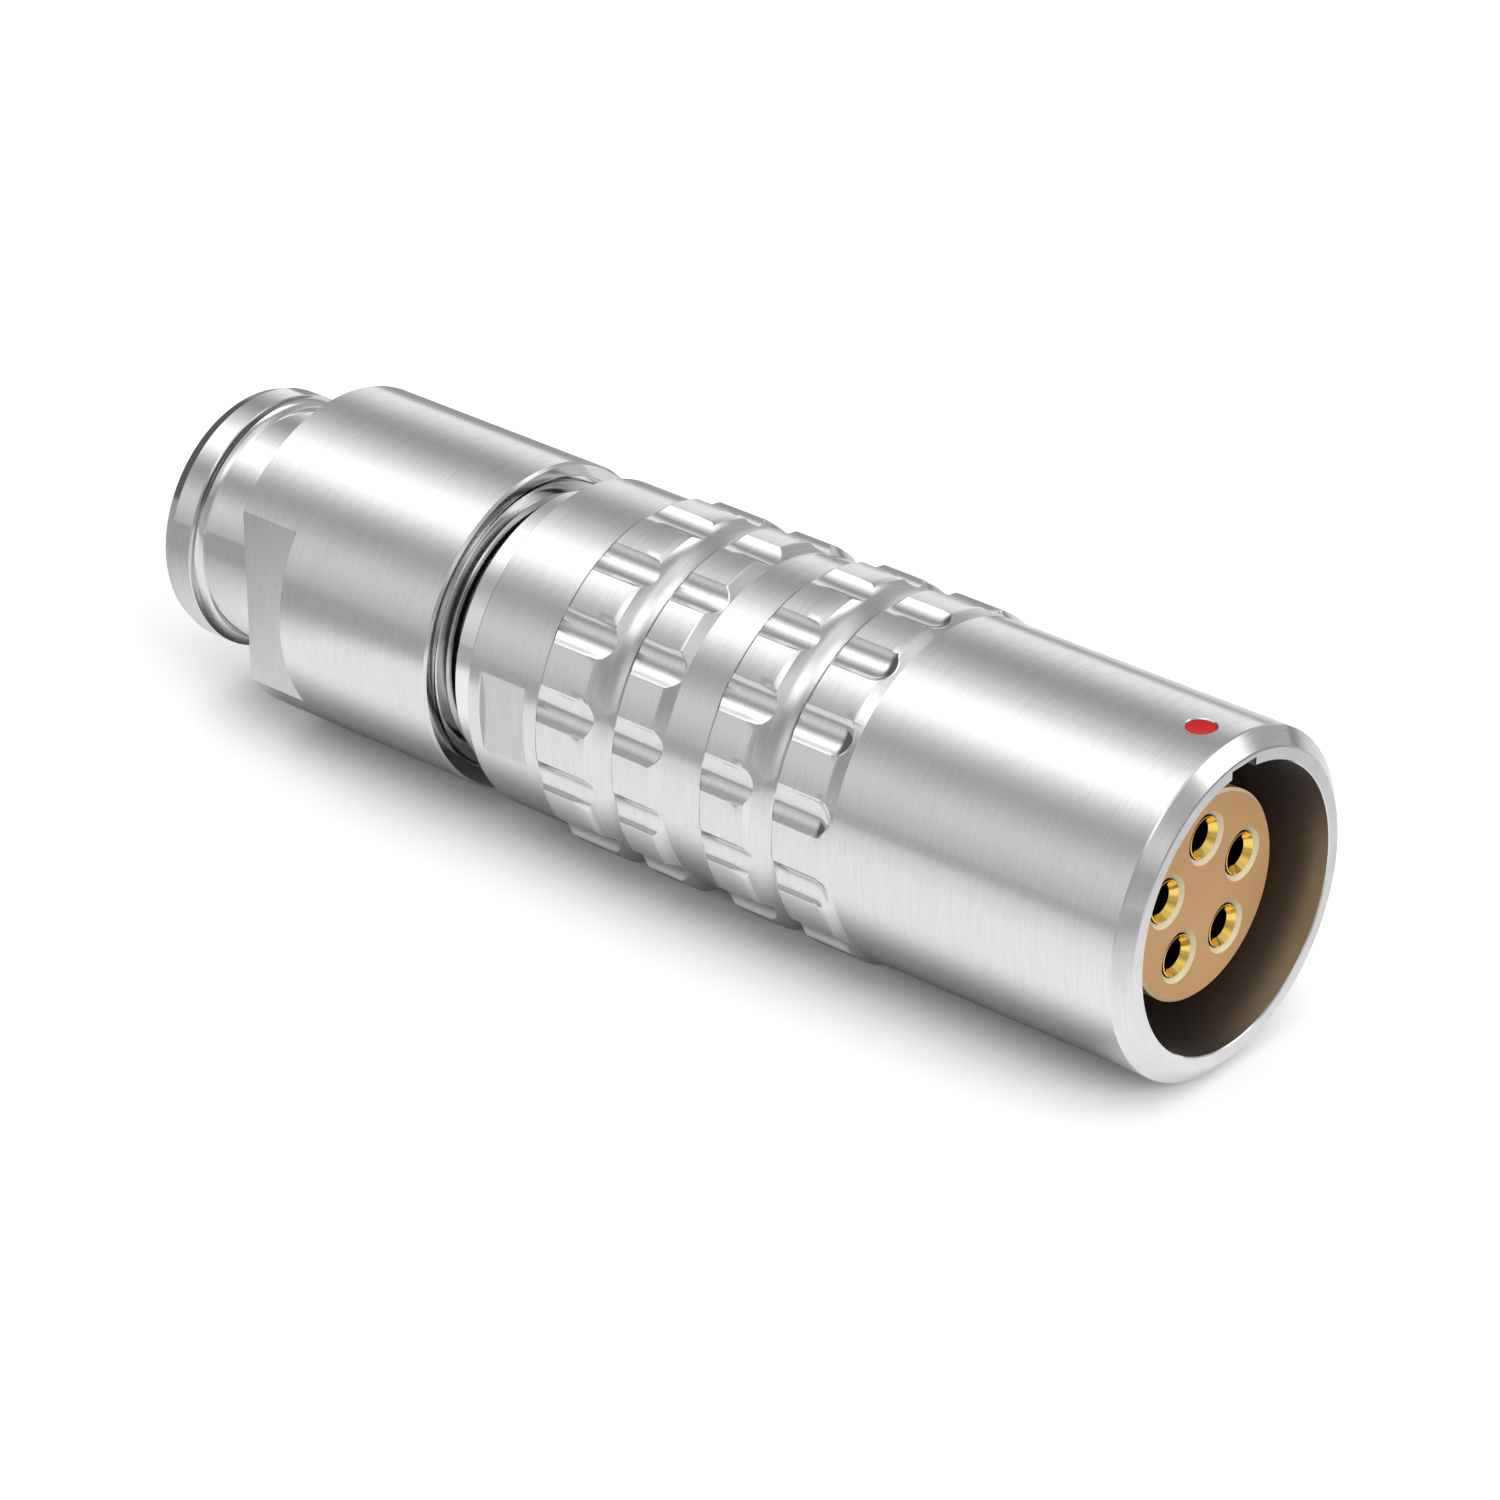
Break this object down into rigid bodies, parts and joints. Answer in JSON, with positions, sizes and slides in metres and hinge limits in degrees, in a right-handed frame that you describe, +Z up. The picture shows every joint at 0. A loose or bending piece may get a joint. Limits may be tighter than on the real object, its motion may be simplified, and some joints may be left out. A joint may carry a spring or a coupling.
{
  "type": "push pull circular connector, cable socket half",
  "caption": "Round metal cable connector socket with fluted grip bands, gold female contacts in a tan insulator, and a collet nut that ends in a bend relief lip.",
  "frame": {"origin": "centre of the shell's front face, on the connector's axis", "axes": "+X along the axis towards the mating plug, +Z up through the key slot and the index dot, +Y to the side"},
  "size_m": [0.0576, 0.0164, 0.0164],
  "materials": {
    "chromed_shell": "satin chrome on brass, brushed round the axis",
    "chromed_nut": "satin chrome on brass, brushed round the axis",
    "polished_ring": "bright",
    "tan_insulator": "matte, tan brown",
    "gold_contact": "gold plated, bright",
    "red_enamel": "gloss enamel",
    "spring_bronze": "nickelled bronze, smooth",
    "spring_steel": "smooth",
    "seal_rubber": "matte black"
  },
  "bodies": {
    "shell": {"outer_shell": "chromed_shell", "index_dot": "red_enamel", "earthing_crown": "spring_bronze", "retaining_ring": "spring_steel", "insulator": "tan_insulator", "rear_insulator": "tan_insulator", "insert_carrier_upper": "chromed_shell", "insert_carrier_lower": "chromed_shell", "shield_cone": "chromed_shell", "collet": "chromed_shell", "contact_1": "gold_contact", "contact_clip_1": "spring_bronze", "contact_2": "gold_contact", "contact_clip_2": "spring_bronze", "contact_3": "gold_contact", "contact_clip_3": "spring_bronze", "contact_4": "gold_contact", "contact_clip_4": "spring_bronze", "contact_5": "gold_contact", "contact_clip_5": "spring_bronze"},
    "ring": {"slip_ring": "polished_ring", "rear_seal": "seal_rubber"},
    "nut": {"collet_nut": "chromed_nut"}
  },
  "joints": [
    {"name": "thread_travel", "type": "slide", "parent": "shell", "child": "ring", "axis": [-1, 0, 0], "range_m": [0, 0.00525]},
    {"name": "nut_turn", "type": "hinge", "parent": "ring", "child": "nut", "pos_m": [-0.0455, 0, 0], "axis": [-1, 0, 0], "range_deg": [0, 2520]}
  ],
  "couplings": [
    {"joint": "thread_travel", "follows": "nut_turn", "m_per_rad": 0.00011937}
  ]
}
